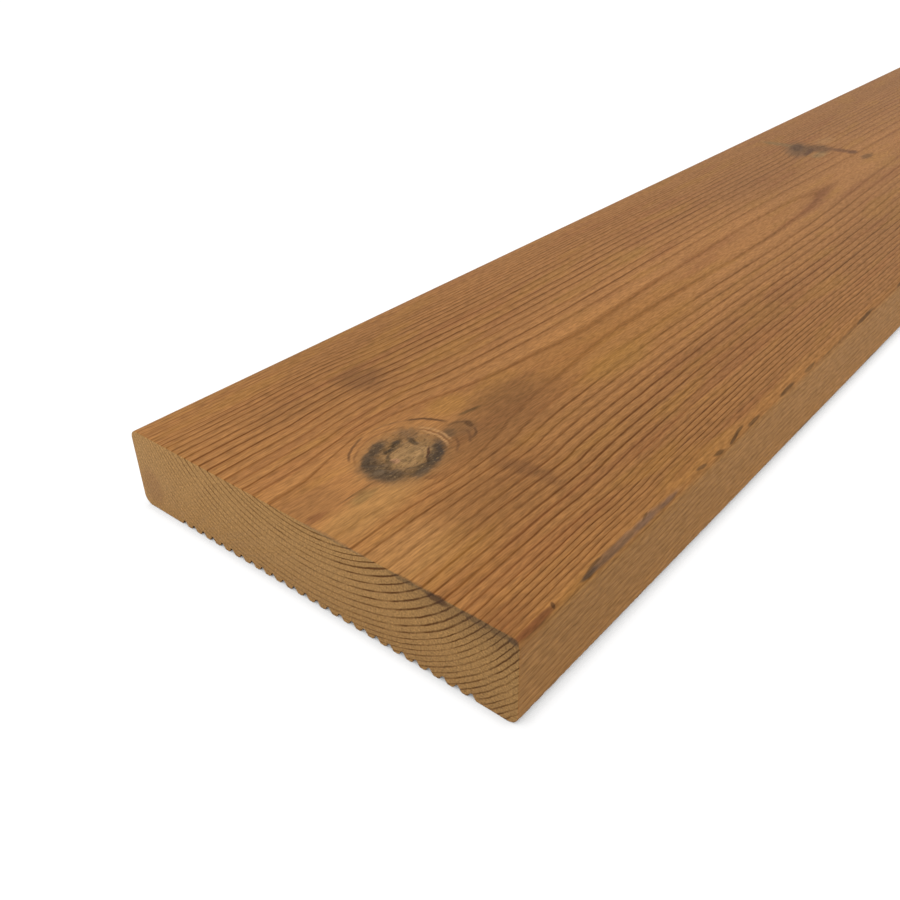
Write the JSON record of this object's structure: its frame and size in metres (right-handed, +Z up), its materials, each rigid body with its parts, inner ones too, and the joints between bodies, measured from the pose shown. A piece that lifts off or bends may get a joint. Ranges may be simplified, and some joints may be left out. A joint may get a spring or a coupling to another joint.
{
  "type": "decking board",
  "caption": "Planed softwood decking board with a smooth upper face, rounded long edges and a finely ribbed underside.",
  "frame": {"origin": "middle of the board's length and width, on the level of its underside", "axes": "+X along the board, from its end in the picture's foreground to the far end; +Y across its width, towards the picture's left; +Z up, out of the smooth face"},
  "size_m": [1.8, 0.14, 0.026],
  "materials": {
    "heat_treated_pine": "planed and uncoated, matt"
  },
  "bodies": {
    "root": {"decking_board": "heat_treated_pine"}
  },
  "joints": []
}
